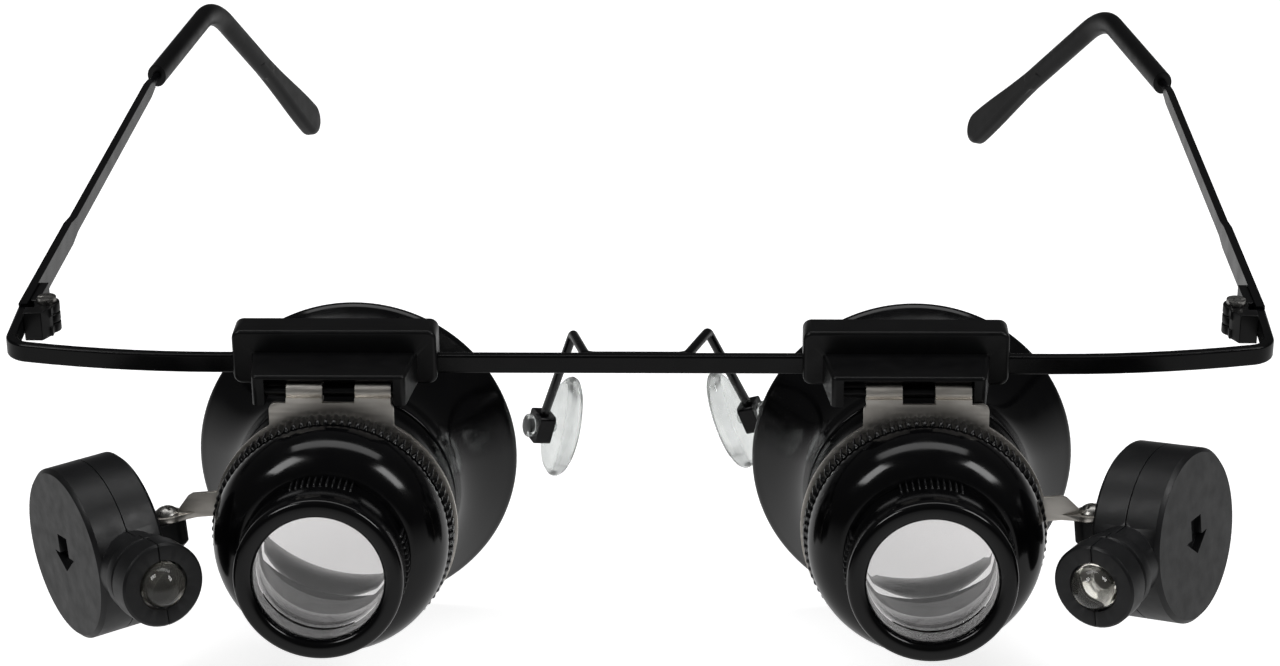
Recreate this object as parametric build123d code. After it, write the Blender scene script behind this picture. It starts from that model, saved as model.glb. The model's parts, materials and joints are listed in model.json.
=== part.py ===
from build123d import *
import math
import os

# Binocular eyeglass loupe: a spectacle frame whose brow bar carries two sliding clips. Each clip holds a
# flip-up eyepiece on a hinged nickel plate, and each plate has a side arm with a swivelling LED lamp.
#
# Millimetres. Origin at the middle of the brow bar. +X is to the right for somebody facing the glasses,
# +Y runs back along the temples towards the wearer, and +Z is up.

os.makedirs("parts", exist_ok=True)

SIDES = {"left": -1, "right": 1}

# ---- driving dimensions -------------------------------------------------------------------------------

# Brow bar
BAR_HEIGHT = 2.2
BAR_THICK = 1.2
BAR_STRAIGHT_HALF = 46.75
BAR_END_RADIUS = 95.0
BAR_END_SWEEP = 13.5
BAR_CORNER_RADIUS = 2.8
BAR_CORNER_SWEEP = 74.5
BAR_END_LENGTH = 7.7
BAR_EDGE = 0.3

# Temple hinge: a barrel of three knuckles on a vertical screw
HINGE_X = 68.5
HINGE_Y = 13.0
HINGE_LEAF_LENGTH = 3.4
KNUCKLE_RADIUS = 1.45
KNUCKLE_HEIGHT = 1.1
KNUCKLE_GAP = 0.1
HINGE_SCREW_RADIUS = 0.6
RUNNING_GAP = 0.05

# Temples
TEMPLE_TOE = {"left": 1.7, "right": 0.6}
TEMPLE_RISE = {"left": 1.1, "right": 0.4}
TEMPLE_THICK = 1.0
TEMPLE_HEIGHT = 2.8
TEMPLE_NARROW_HEIGHT = 1.9
TEMPLE_WIDE_LENGTH = 24.0
TEMPLE_BLADE_LENGTH = 77.0
TEMPLE_NECK_RADIUS = 0.6
TIP_START = 80.0
TIP_NECK = 1.2
TIP_BEND = 109.0
TIP_INSET = {"left": 2.7, "right": 4.6}
TIP_BEND_RADIUS = 12.0
TIP_DROP = {"left": (-9.8, 27.0, -28.9), "right": (-16.2, 27.0, -28.5)}
TIP_THICK = 2.6
TIP_HEIGHT = 3.2
PADDLE_THICK = 2.4
PADDLE_HEIGHT = 5.1
PADDLE_LENGTH = 24.0

# Nose wire, pad boxes and pads
WIRE_RADIUS = 0.54
WIRE_ON_BAR_X = 5.6
WIRE_PEAK = {"left": (7.45, 9.6, -0.7), "right": (8.0, 9.6, -0.4)}
PAD_BOX_CENTRE = {"left": (11.9, 18.1, -16.4), "right": (13.3, 18.1, -14.9)}
PAD_BOX_SIZE = (3.6, 3.0, 2.0)
PAD_LENGTH = 13.0
PAD_WIDTH = 7.4
PAD_THICK = 2.2
PAD_SPLAY = {"left": 26.0, "right": 17.0}
PAD_LEAN = {"left": 15.0, "right": 22.0}
PAD_STEM_RADIUS = 0.8
PAD_GAP = 0.7

# Sliding clip
SLIDER_X = {"left": -33.5, "right": 30.0}
SLIDER_WIDTH = 22.8
SLIDER_FRONT = -1.75
SLIDER_REAR = 1.9
SLIDER_BOTTOM = -1.9
SLIDER_TOP = 4.55
SLIDER_CHANNEL_Y = BAR_THICK / 2 + 0.15
SLIDER_CHANNEL_Z = BAR_HEIGHT / 2 + 0.12
COVER_TOP = 3.1
BLOCK_FRONT = -8.1
BLOCK_FRONT_WIDTH = 16.8
BLOCK_REAR_WIDTH = 18.7
BLOCK_BOTTOM = -1.6
BLOCK_TOP = 1.95
RECESS_WIDTH = 14.2

# Flip hinge between clip and eyepiece plate
FLIP_Y = -7.15
FLIP_Z = -0.2
FLIP_PIN_RADIUS = 0.5
FLIP_PIN_LENGTH = 16.2
FLIP_KNUCKLE_RADIUS = 1.15
FLIP_REST_TILT = 6.3
LOUPE_PLAY = {"left": -0.3, "right": 1.9}

# Eyepiece, in its own frame: the optical axis is Y, and the rim of the eyecup lies at y = 0
AXIS_BELOW_HINGE = 15.3
RIM_BEHIND_HINGE = 22.7
PLATE_FRONT = -24.35
PLATE_THICK = 0.6
PLATE_RING_RADIUS = 13.6
PLATE_TAB_WIDTH = 13.7
PLATE_TAB_TOP = 14.4
KNUCKLE_NECK_TOP = 14.95
FLIP_KNUCKLES = ((-6.55, -2.6), (1.0, 4.95))
EYECUP_RIM_RADIUS = 18.7
EYECUP_BODY_RADIUS = 12.7
EYECUP_WALL = 1.3
NECK_RADIUS = 10.4
NECK_FRONT = -29.2
CAP_RADIUS = 13.0
CAP_KNURL_REAR = -24.45
CAP_KNURL_FRONT = -27.2
CAP_FRONT = -33.4
KNURL_TEETH = 92
KNURL_DEPTH = 0.42
BARREL_RADIUS = 9.1
BARREL_FRONT = -40.6
BARREL_REAR = -29.6
OBJECTIVE_RADIUS = 7.0
FRONT_LENS_RADIUS = 7.6
FRONT_LENS_SAG = 0.35
EYE_LENS_RADIUS = 10.9
EYE_LENS_SAG = 0.4
RIB_GROUPS = 4
RIBS_PER_GROUP = 11
RIB_PITCH = 4.2
RIB_LENGTH = 2.7
RIB_ROOT_RADIUS = 8.88
SPACER_RADIUS = 8.7

# Lamp arm and lamp, in the lamp's own frame: the swivel screw is Z, the disc's axis is X, the LED looks
# along -Y, and z = 0 is the top of the lug
SWIVEL_X = 18.6
SWIVEL_Y = -24.05
LUG_TOP = 1.0
ARM_TOP = 3.8
ARM_ROLL = {"left": 4.8, "right": 5.6}
LAMP_TOE_IN = {"left": 35.0, "right": 33.0}
DISC_RADIUS = 9.6
DISC_THICK = 8.0
DISC_CENTRE_X = 8.5
DISC_CENTRE_Z = -0.6
DISC_EDGE = 0.45
CELL_RADIUS = 8.0
CELL_THICK = 2.0
CELL_CAVITY_THICK = 4.7
LED_RADIUS = 2.45
LED_FLANGE_RADIUS = 2.9
LED_BASE = -12.0
LED_TIP = -18.8
HEAD_FRONT = -16.8
HEAD_RADIUS = 4.6
LAMP_SCREW_RADIUS = 0.8
LAMP_SCREW_HEAD_RADIUS = 1.45
LAMP_SCREW_HEAD_HEIGHT = 0.85
SHELL_GAP = 0.05

FIT = 0.05


# ---- helpers ------------------------------------------------------------------------------------------


def block(x, y, z):
    """Box from three (low, high) pairs."""
    low = (x[0], y[0], z[0])
    size = (x[1] - x[0], y[1] - y[0], z[1] - z[0])
    return Pos(*low) * Box(*size, align=(Align.MIN, Align.MIN, Align.MIN))


def rod(radius, start, end):
    """Round rod between two points."""
    start = Vector(*start)
    along = Vector(*end) - start
    return extrude(Plane(start, z_dir=along.normalized()) * Circle(radius), along.length)


def turned(points):
    """Solid of revolution about Y from a closed outline of (radius, y) points."""
    return revolve(make_face(Polyline(*points, close=True)), Axis.Y)


def ring(outer, inner, y_low, y_high):
    """Plain tube about the Y axis."""
    return turned([(inner, y_low), (outer, y_low), (outer, y_high), (inner, y_high)])


def plug(radius, y_low, y_high):
    """Round bar about the Y axis."""
    return turned([(0, y_low), (radius, y_low), (radius, y_high), (0, y_high)])


def plate_outline(points, thickness, y_front):
    """Flat sheet in the XZ plane, given as (x, z) corners, its front face at y_front."""
    face = make_face(Polyline(*[(x, y_front, z) for x, z in points], close=True))
    return extrude(face, amount=thickness, dir=(0, 1, 0))


def handed(shape, side):
    """Everything is drawn for the right-hand side; the left-hand piece is its mirror image."""
    return shape if SIDES[side] > 0 else mirror(shape, about=Plane.YZ)


def save(shape, name):
    shape.label = name
    export_step(shape, f"parts/{name}.step")


# ---- brow bar and temple hinges -----------------------------------------------------------------------


def bar_half_path():
    """Centre line of the right half of the bar: straight, a gentle arc, a tight corner, the end piece."""
    straight = Line((0, 0), (BAR_STRAIGHT_HALF, 0))
    bow = JernArc(start=straight @ 1, tangent=straight % 1, radius=BAR_END_RADIUS, arc_size=BAR_END_SWEEP)
    corner = JernArc(start=bow @ 1, tangent=bow % 1, radius=BAR_CORNER_RADIUS, arc_size=BAR_CORNER_SWEEP)
    end = Line(corner @ 1, corner @ 1 + (corner % 1) * BAR_END_LENGTH)
    return straight + bow + corner + end


def brow_bar():
    section = Plane.YZ * RectangleRounded(BAR_THICK, BAR_HEIGHT, BAR_EDGE)
    half = sweep(section, path=bar_half_path())
    return half + mirror(half, about=Plane.YZ)


def knuckle(z_low):
    at = (HINGE_X, HINGE_Y, z_low)
    return Pos(*at) * Cylinder(KNUCKLE_RADIUS, KNUCKLE_HEIGHT, align=(Align.CENTER, Align.CENTER, Align.MIN))


def hinge_bore():
    return Pos(HINGE_X, HINGE_Y, 0) * Cylinder(HINGE_SCREW_RADIUS + RUNNING_GAP, 10)


def end_piece_inner_face(y):
    """X of the end piece's inner face at a given y."""
    end = bar_half_path() @ 1
    lean = math.tan(math.radians(90 - BAR_END_SWEEP - BAR_CORNER_SWEEP))
    return end.X - (end.Y - y) * lean - BAR_THICK / 2


def hinge_leaf_front(side):
    """Leaf soldered inside the end piece, with the upper and lower knuckles."""
    pitch = KNUCKLE_HEIGHT + KNUCKLE_GAP
    half = KNUCKLE_HEIGHT / 2
    top_z = pitch - half
    bottom_z = -pitch - half
    front_y = HINGE_Y - HINGE_LEAF_LENGTH
    neck_y = HINGE_Y - KNUCKLE_RADIUS - 0.15
    outer = [end_piece_inner_face(front_y) - 0.02, end_piece_inner_face(neck_y) - 0.02]
    foot = make_face(Polyline((outer[0], front_y), (outer[1], neck_y), (HINGE_X - 0.9, neck_y),
                              (HINGE_X + 0.1, front_y), close=True))
    leaf = extrude(Pos(0, 0, bottom_z) * foot, pitch * 2 + KNUCKLE_HEIGHT)
    for z in (bottom_z, top_z):
        web = block((HINGE_X - 0.9, HINGE_X + 1.2), (neck_y - 0.5, HINGE_Y), (z, z + KNUCKLE_HEIGHT))
        leaf += knuckle(z) + web
    return handed(leaf - hinge_bore(), side)


def hinge_screw(side):
    """Screw down the barrel, head on top."""
    height = KNUCKLE_HEIGHT * 1.5 + KNUCKLE_GAP
    shank = rod(HINGE_SCREW_RADIUS, (HINGE_X, HINGE_Y, -height), (HINGE_X, HINGE_Y, height))
    head = rod(1.1, (HINGE_X, HINGE_Y, height + 0.02), (HINGE_X, HINGE_Y, height + 0.6))
    neck = rod(HINGE_SCREW_RADIUS, (HINGE_X, HINGE_Y, height), (HINGE_X, HINGE_Y, height + 0.1))
    slot = block((HINGE_X - 1.2, HINGE_X + 1.2), (HINGE_Y - 0.15, HINGE_Y + 0.15),
                 (height + 0.35, height + 1))
    return handed(shank + neck + head - slot, side)


# ---- temples ------------------------------------------------------------------------------------------


def temple_place(side):
    """The temple is drawn straight back from its butt end, then toed in about the hinge screw."""
    pivot = Pos(HINGE_X, HINGE_Y, 0)
    return pivot * Rot(0, 0, TEMPLE_TOE[side]) * pivot.inverse()


def blade_place(side):
    """The blade is soldered to its leaf with a small rise towards the ear."""
    pivot = Pos(HINGE_X, HINGE_Y, 0)
    return temple_place(side) * pivot * Rot(TEMPLE_RISE[side], 0, 0) * pivot.inverse()


def temple_centre_x():
    end = bar_half_path() @ 1
    return end.X + 0.05


def tip_points(side):
    """Kink behind the blade, start of the sleeve, top of the bend and end of the paddle."""
    x = temple_centre_x()
    bend = Vector(x - TIP_INSET[side], HINGE_Y + TIP_BEND, 0)
    kink = Vector(x, HINGE_Y + TIP_START - TIP_NECK, 0)
    start = kink + (bend - kink).normalized() * TIP_NECK
    return kink, start, bend, bend + Vector(*TIP_DROP[side])


def temple_arm(side):
    """Flat steel blade, deep at the hinge, ending in a round core wire inside the ear tip."""
    x = temple_centre_x()
    butt = HINGE_Y + 0.1
    wide_end = butt + TEMPLE_WIDE_LENGTH
    blade_end = HINGE_Y + TEMPLE_BLADE_LENGTH
    tall = TEMPLE_HEIGHT / 2
    slim = TEMPLE_NARROW_HEIGHT / 2
    corners = [(butt, -tall), (wide_end, -tall), (wide_end + 3, -slim), (blade_end - 3, -slim),
               (blade_end, -TEMPLE_NECK_RADIUS), (blade_end, TEMPLE_NECK_RADIUS), (blade_end - 3, slim),
               (wide_end + 3, slim), (wide_end, tall), (butt, tall)]
    low_x = x - TEMPLE_THICK / 2
    face = make_face(Polyline(*[(low_x, y, z) for y, z in corners], close=True))
    blade = extrude(face, amount=TEMPLE_THICK, dir=(1, 0, 0))
    kink, start, bend, tip_end = tip_points(side)
    core_end = tip_end - (tip_end - bend).normalized() * (PADDLE_LENGTH + 2)
    neck_start = Vector(x, blade_end - 1.0, 0)
    path = FilletPolyline(neck_start, kink, bend, core_end, radius=TIP_BEND_RADIUS)
    core = sweep(Plane(neck_start, z_dir=(0, 1, 0)) * Circle(TEMPLE_NECK_RADIUS - 0.1), path=path)
    return handed(blade_place(side) * (blade + core), side)


def temple_leaf(side):
    """Leaf soldered inside the temple, with the middle knuckle."""
    inner_x = temple_centre_x() - TEMPLE_THICK / 2 - 0.02
    half = KNUCKLE_HEIGHT / 2
    near_y = HINGE_Y + KNUCKLE_RADIUS + 0.15
    far_y = HINGE_Y + 7.0
    tall = TEMPLE_HEIGHT / 2
    foot = block((inner_x - 1.0, inner_x), (near_y, far_y), (-tall + 0.2, tall - 0.2))
    web = block((HINGE_X, inner_x - 0.5), (HINGE_Y, near_y + 1.2), (-half, half))
    leaf = foot + web + knuckle(-half) - hinge_bore()
    return handed(temple_place(side) * leaf, side)


def tip_paddle(waist, down):
    """Tongue that widens smoothly from the sleeve to a round end, its flat sides facing the head."""
    across = (Vector(1, 0, 0) - down * down.X).normalized()
    slim = TIP_HEIGHT / 2 - 0.25
    wide = PADDLE_HEIGHT / 2
    full_at = PADDLE_LENGTH - wide
    middle = (full_at * 0.45, slim + (wide - slim) * 0.38)
    upper = Spline((0, slim), middle, (full_at, wide), tangents=((1, 0.02), (1, 0)))
    lower = mirror(upper, about=Plane.XZ)
    end = ThreePointArc((full_at, wide), (PADDLE_LENGTH, 0), (full_at, -wide))
    outline = make_face(upper + end + lower + Line((0, -slim), (0, slim)))
    tongue = extrude(outline, amount=PADDLE_THICK / 2, both=True)
    tongue = fillet(tongue.edges().filter_by(Axis.Z, reverse=True), PADDLE_THICK * 0.36)
    return Plane(waist, x_dir=down, z_dir=across) * tongue


def temple_tip(side):
    """Plastic ear tip: an oval sleeve that bends down behind the ear and widens into a paddle."""
    kink, start, bend, tip_end = tip_points(side)
    back = (bend - start).normalized()
    down = (tip_end - bend).normalized()
    waist = tip_end - down * PADDLE_LENGTH
    across = Vector(1, 0, 0) - back * back.X
    section = Plane(start, x_dir=across.normalized(), z_dir=back)
    sleeve = sweep(section * Ellipse(TIP_THICK / 2, TIP_HEIGHT / 2),
                   path=FilletPolyline(start, bend, waist + down * 4, radius=TIP_BEND_RADIUS))
    bore = sweep(section * Circle(TEMPLE_NECK_RADIUS - 0.1 + FIT),
                 path=FilletPolyline(start, bend, waist - down, radius=TIP_BEND_RADIUS))
    return handed(blade_place(side) * (sleeve + tip_paddle(waist, down) - bore), side)


# ---- nose wire and pads -------------------------------------------------------------------------------


def pad_plane(side):
    """Pad frame, drawn on the right: x runs down the pad's length, z points at the nose."""
    lean = math.radians(PAD_LEAN[side])
    splay = math.radians(PAD_SPLAY[side])
    along = Vector(math.sin(lean), 0, -math.cos(lean))
    facing = Vector(-math.cos(splay), math.sin(splay), 0)
    normal = (facing - along * facing.dot(along)).normalized()
    return Plane(PAD_BOX_CENTRE[side], x_dir=along, z_dir=normal)


def nose_wire():
    """One bent wire: box, arm, bend, along the back of the bar, and down to the other box."""
    points = []
    boxes = Part()
    for side, hand in SIDES.items():
        frame = pad_plane(side)
        end = frame.origin - frame.x_dir * 0.9
        on_bar = Vector(WIRE_ON_BAR_X, BAR_THICK / 2 + WIRE_RADIUS + 0.02, 0.3)
        half = [Vector(hand * p.X, p.Y, p.Z) for p in (end, Vector(*WIRE_PEAK[side]), on_bar)]
        points += half if side == "left" else half[::-1]
        boxes += handed(frame * Box(*[edge + 0.04 for edge in PAD_BOX_SIZE]), side)
    path = FilletPolyline(*points, radius=1.3)
    return sweep(Plane(path @ 0, z_dir=path % 0) * Circle(WIRE_RADIUS), path=path) - boxes


def pad_box(side):
    """Metal box brazed to the end of the arm, with a hole that the pad's stem is pushed through."""
    body = Box(*PAD_BOX_SIZE)
    body = fillet(body.edges().filter_by(Axis.Z), 0.5)
    hole = Cylinder(PAD_STEM_RADIUS + 0.3, 5)
    return handed(pad_plane(side) * (body - hole), side)


def nose_pad(side):
    """Clear silicone pad with a stem through the box and a button that keeps it there."""
    box_face = PAD_BOX_SIZE[2] / 2
    back = box_face + PAD_GAP
    oval = extrude(Pos(0, 0, back) * Ellipse(PAD_LENGTH / 2, PAD_WIDTH / 2), PAD_THICK)
    oval = fillet(oval.edges(), 0.9)
    stem = Pos(0, 0, -box_face - 0.6) * Cylinder(PAD_STEM_RADIUS, back + box_face + 1.0,
                                                 align=(Align.CENTER, Align.CENTER, Align.MIN))
    button = Pos(0, 0, -box_face - 0.6) * Cylinder(1.4, 0.6)
    return handed(pad_plane(side) * (oval + stem + button), side)


# ---- sliding clip -------------------------------------------------------------------------------------


def slider_body(side):
    """Clip moulding: a channel for the bar, and a front block with the recess for the flip hinge."""
    half = SLIDER_WIDTH / 2
    body = block((-half, half), (SLIDER_FRONT, SLIDER_REAR), (SLIDER_BOTTOM, SLIDER_TOP))
    body = fillet(body.edges().filter_by(Axis.Y), 1.0)
    body = fillet(body.faces().sort_by(Axis.Y)[0].edges(), 0.45)
    front = BLOCK_FRONT_WIDTH / 2
    rear = BLOCK_REAR_WIDTH / 2
    plan = make_face(Polyline((-front, BLOCK_FRONT), (front, BLOCK_FRONT), (rear, SLIDER_FRONT + 1),
                              (-rear, SLIDER_FRONT + 1), close=True))
    nose = extrude(Pos(0, 0, BLOCK_BOTTOM) * plan, BLOCK_TOP - BLOCK_BOTTOM)
    upright = nose.edges().filter_by(Axis.Z).group_by(Axis.Y)[0]
    nose = fillet(upright, 0.6)
    nose = fillet(nose.edges().group_by(Axis.Z)[-1], 0.4)
    body += nose
    recess_top = FLIP_Z + FLIP_KNUCKLE_RADIUS + 0.15
    recess_rear = FLIP_Y + FLIP_KNUCKLE_RADIUS + 0.3
    wide = RECESS_WIDTH / 2
    body -= block((-wide, wide), (BLOCK_FRONT - 1, recess_rear), (BLOCK_BOTTOM - 1, recess_top))
    lip = 0.45
    lip_face = make_face(Polyline((-wide, BLOCK_FRONT - 0.01, recess_top - 0.01),
                                  (-wide, BLOCK_FRONT + lip, recess_top - 0.01),
                                  (-wide, BLOCK_FRONT - 0.01, recess_top + lip), close=True))
    body -= extrude(lip_face, amount=RECESS_WIDTH, dir=(1, 0, 0))
    body -= block((-half - 1, half + 1), (-SLIDER_CHANNEL_Y, SLIDER_REAR + 1),
                  (-SLIDER_CHANNEL_Z, SLIDER_CHANNEL_Z))
    body -= block((-half - 1, half + 1), (SLIDER_CHANNEL_Y, SLIDER_REAR + 1), (SLIDER_BOTTOM - 1, COVER_TOP))
    body -= rod(FLIP_PIN_RADIUS + 0.01, (-FLIP_PIN_LENGTH / 2, FLIP_Y, FLIP_Z),
                (FLIP_PIN_LENGTH / 2, FLIP_Y, FLIP_Z))
    for x in (-8, 8):
        body -= rod(0.6, (x, -0.9, 2.2), (x, SLIDER_REAR, 2.2))
    return Pos(SLIDER_X[side], 0, 0) * body


def slider_cover(side):
    """Back plate that closes the bar channel."""
    half = SLIDER_WIDTH / 2
    cover = block((-half, half), (SLIDER_CHANNEL_Y + 0.02, SLIDER_REAR), (SLIDER_BOTTOM, COVER_TOP - 0.02))
    cover = fillet(cover.edges().filter_by(Axis.Y).group_by(Axis.Z)[0], 1.0)
    pocket = block((-8.2, 8.2), (0, SLIDER_CHANNEL_Y + 0.5), (-0.95, 0.95))
    cover -= pocket
    for x in (-8, 8):
        cover -= rod(0.75, (x, 0, 2.2), (x, 3, 2.2))
    return Pos(SLIDER_X[side], 0, 0) * cover


def slider_screws(side):
    """Two small screws through the back plate."""
    screws = Part()
    for x in (-8, 8):
        shank = rod(0.58, (x, -0.8, 2.2), (x, SLIDER_REAR + 0.05, 2.2))
        head = rod(1.0, (x, SLIDER_REAR + 0.02, 2.2), (x, SLIDER_REAR + 0.5, 2.2))
        slot = block((x - 0.12, x + 0.12), (SLIDER_REAR + 0.3, SLIDER_REAR + 1), (1.0, 3.4))
        screws += shank + head - slot
    return Pos(SLIDER_X[side], 0, 0) * screws


def slider_spring(side):
    """Bowed leaf spring in the back plate that rubs on the bar and holds the clip where it is put."""
    bar_face = BAR_THICK / 2 + 0.03
    pocket_floor = SLIDER_CHANNEL_Y + 0.48
    thick = 0.12
    bow = ThreePointArc((-7.8, pocket_floor), (0, bar_face + thick), (7.8, pocket_floor))
    inside = ThreePointArc((-7.8, pocket_floor - thick), (0, bar_face), (7.8, pocket_floor - thick))
    ends = Line(bow @ 0, inside @ 0) + Line(bow @ 1, inside @ 1)
    strip = extrude(make_face(bow + inside + ends), 1.6)
    return Pos(SLIDER_X[side], 0, -0.8) * strip


def flip_pin(side):
    half = FLIP_PIN_LENGTH / 2 - 0.1
    return Pos(SLIDER_X[side], 0, 0) * rod(FLIP_PIN_RADIUS, (-half, FLIP_Y, FLIP_Z), (half, FLIP_Y, FLIP_Z))


# ---- eyepiece -----------------------------------------------------------------------------------------


def loupe_place(side):
    """From the eyepiece's own frame to the glasses: hung on the flip hinge, front raised a little."""
    x = SLIDER_X[side] + SIDES[side] * LOUPE_PLAY[side]
    hinge = Pos(x, FLIP_Y, FLIP_Z) * Rot(-FLIP_REST_TILT, 0, 0)
    return hinge * Pos(0, RIM_BEHIND_HINGE, -AXIS_BELOW_HINGE)


def plate_arm():
    """Side arm: an upright strip whose end is twisted flat to take the lamp's screw."""
    floor = LUG_TOP + FIT
    upright = plate_outline([(12.0, floor), (17.2, floor), (17.2, 2.1), (16.0, ARM_TOP - 0.3),
                             (15.4, ARM_TOP), (12.0, ARM_TOP)], PLATE_THICK, PLATE_FRONT)
    tab = Pos(SWIVEL_X, SWIVEL_Y, floor) * Cylinder(1.9, 0.6, align=(Align.CENTER, Align.CENTER, Align.MIN))
    neck = make_face(Polyline((15.2, PLATE_FRONT, floor), (SWIVEL_X, SWIVEL_Y - 1.9, floor),
                              (SWIVEL_X, SWIVEL_Y + 1.9, floor),
                              (15.2, PLATE_FRONT + PLATE_THICK, floor), close=True))
    tab += extrude(neck, amount=0.6, dir=(0, 0, 1))
    return upright + tab


def loupe_plate(side):
    """Nickel plate: a ring clamped round the eyecup's neck, the hinge tab above, the lamp arm beside."""
    plate = ring(PLATE_RING_RADIUS, NECK_RADIUS + 0.15, PLATE_FRONT, PLATE_FRONT + PLATE_THICK)
    half = PLATE_TAB_WIDTH / 2
    tab = plate_outline([(-half, 9.5), (half, 9.5), (half, PLATE_TAB_TOP), (-half, PLATE_TAB_TOP)],
                        PLATE_THICK, PLATE_FRONT)
    tab = fillet(tab.edges().filter_by(Axis.Y).group_by(Axis.Z)[-1], 0.8)
    tab -= plug(11.5, PLATE_FRONT - 1, PLATE_FRONT + 2)
    plate += tab
    hinge = (-RIM_BEHIND_HINGE, AXIS_BELOW_HINGE)
    for low, high in FLIP_KNUCKLES:
        barrel = rod(FLIP_KNUCKLE_RADIUS, (low, *hinge), (high, *hinge))
        neck = block((low, high), (PLATE_FRONT, hinge[0]), (PLATE_TAB_TOP - 0.2, KNUCKLE_NECK_TOP))
        plate += barrel + neck
    plate -= rod(FLIP_PIN_RADIUS + RUNNING_GAP, (-8, *hinge), (8, *hinge))
    arm = plate_arm() - rod(LAMP_SCREW_RADIUS + RUNNING_GAP, (SWIVEL_X, SWIVEL_Y, 0), (SWIVEL_X, SWIVEL_Y, 3))
    roll = Pos(15, 0, 0) * Rot(0, arm_roll(side), 0) * Pos(-15, 0, 0)
    plate += roll * arm
    return loupe_place(side) * handed(plate, side)


def arm_roll(side):
    """Degrees that the arm is bent about the optical axis: the left lamp hangs, the right one is raised."""
    return ARM_ROLL[side] if side == "left" else -ARM_ROLL[side]


def eyecup(side):
    """Black eyecup: threaded neck, straight body with a step, and a trumpet that flares to the rim."""
    shoulder = PLATE_FRONT + PLATE_THICK + 0.02
    body = EYECUP_BODY_RADIUS
    rim = EYECUP_RIM_RADIUS
    outer = Polyline((NECK_RADIUS, NECK_FRONT), (NECK_RADIUS, shoulder), (body, shoulder), (body, -16.2),
                     (body - 0.5, -16.2), (body - 0.5, -15.2), (body, -15.2), (body, -12.6))
    flare = Spline((body, -12.6), (body + 1.5, -7.2), (rim - 0.4, -1.2), tangents=((0, 1), (0.8, 0.6)))
    lip = ThreePointArc((rim - 0.4, -1.2), (rim, -0.6), (rim - 0.4, 0))
    inner_lip = Line((rim - 0.4, 0), (rim - 1.1, 0))
    throat = Spline((rim - 1.1, 0), (body + 0.4, -6.6), (body - EYECUP_WALL, -12.6),
                    tangents=((-0.8, -0.6), (0, -1)))
    inner = Polyline((body - EYECUP_WALL, -12.6), (body - EYECUP_WALL, -14.2), (EYE_LENS_RADIUS + FIT, -14.2),
                     (EYE_LENS_RADIUS + FIT, -22.6), (9.0, -22.6), (9.0, NECK_FRONT),
                     (NECK_RADIUS, NECK_FRONT))
    shell = revolve(make_face(outer + flare + lip + inner_lip + throat + inner), Axis.Y)
    return loupe_place(side) * shell


def knurled_ring(radius, teeth, depth, y_low, y_high):
    """Solid ring edge with straight teeth, drawn by formula."""
    step = 2 * math.pi / teeth
    points = []
    for i in range(teeth):
        for share, r in ((0.0, radius), (0.28, radius + depth), (0.55, radius + depth), (0.83, radius)):
            angle = (i + share) * step
            points.append((r * math.cos(angle), y_low, r * math.sin(angle)))
    face = make_face(Polyline(*points, close=True))
    return extrude(face, amount=y_high - y_low, dir=(0, 1, 0))


def knurled_cap(side):
    """Screw cap that clamps the plate on the neck: a knurled rim and a smooth dome."""
    front_radius = BARREL_RADIUS + 0.6
    dome = Spline((CAP_RADIUS, CAP_KNURL_FRONT), (12.55, -30.2), (front_radius, CAP_FRONT),
                  tangents=((0.05, -1), (-1, -0.35)))
    back = Polyline((front_radius, CAP_FRONT), (BARREL_RADIUS - 1.2, CAP_FRONT),
                    (BARREL_RADIUS - 1.2, NECK_FRONT - 0.3),
                    (NECK_RADIUS + FIT, NECK_FRONT - 0.3), (NECK_RADIUS + FIT, CAP_KNURL_REAR),
                    (CAP_RADIUS, CAP_KNURL_REAR), (CAP_RADIUS, CAP_KNURL_FRONT))
    cap = revolve(make_face(dome + back), Axis.Y)
    knurl = knurled_ring(CAP_RADIUS - 0.05, KNURL_TEETH, KNURL_DEPTH, CAP_KNURL_FRONT, CAP_KNURL_REAR)
    knurl -= plug(CAP_RADIUS - 0.5, CAP_KNURL_FRONT - 1, CAP_KNURL_REAR + 1)
    return loupe_place(side) * (cap + knurl)


def objective_barrel(side):
    """Front barrel that screws into the cap and holds the front lens, with groups of grip ribs."""
    r = BARREL_RADIUS
    seat = BARREL_FRONT + 3.4
    bore = FRONT_LENS_RADIUS + FIT
    thread = BARREL_RADIUS - 1.2 - FIT
    rib_front = CAP_FRONT - RIB_LENGTH
    barrel = turned([(OBJECTIVE_RADIUS, BARREL_FRONT + 0.5), (OBJECTIVE_RADIUS + 0.5, BARREL_FRONT + 0.1),
                     (r - 0.7, BARREL_FRONT), (r - 0.2, BARREL_FRONT + 0.2), (r, BARREL_FRONT + 0.7),
                     (r, rib_front), (RIB_ROOT_RADIUS, rib_front), (RIB_ROOT_RADIUS, CAP_FRONT - 0.05),
                     (thread, CAP_FRONT - 0.05), (thread, BARREL_REAR),
                     (FRONT_LENS_RADIUS - 0.3, BARREL_REAR), (FRONT_LENS_RADIUS - 0.3, seat + 2.3),
                     (bore, seat + 2.3), (bore, seat), (OBJECTIVE_RADIUS, seat)])
    return barrel


def grip_ribs(barrel):
    """Short ribs along the rear of the barrel, in equal groups round it."""
    rib = block((-0.16, 0.16), (CAP_FRONT - RIB_LENGTH + 0.1, CAP_FRONT - 0.1),
                (RIB_ROOT_RADIUS - 0.2, BARREL_RADIUS + 0.2))
    for group in range(RIB_GROUPS):
        for i in range(RIBS_PER_GROUP):
            angle = group * 360 / RIB_GROUPS + (i - (RIBS_PER_GROUP - 1) / 2) * RIB_PITCH
            barrel += Rot(0, angle, 0) * rib
    return barrel


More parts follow.
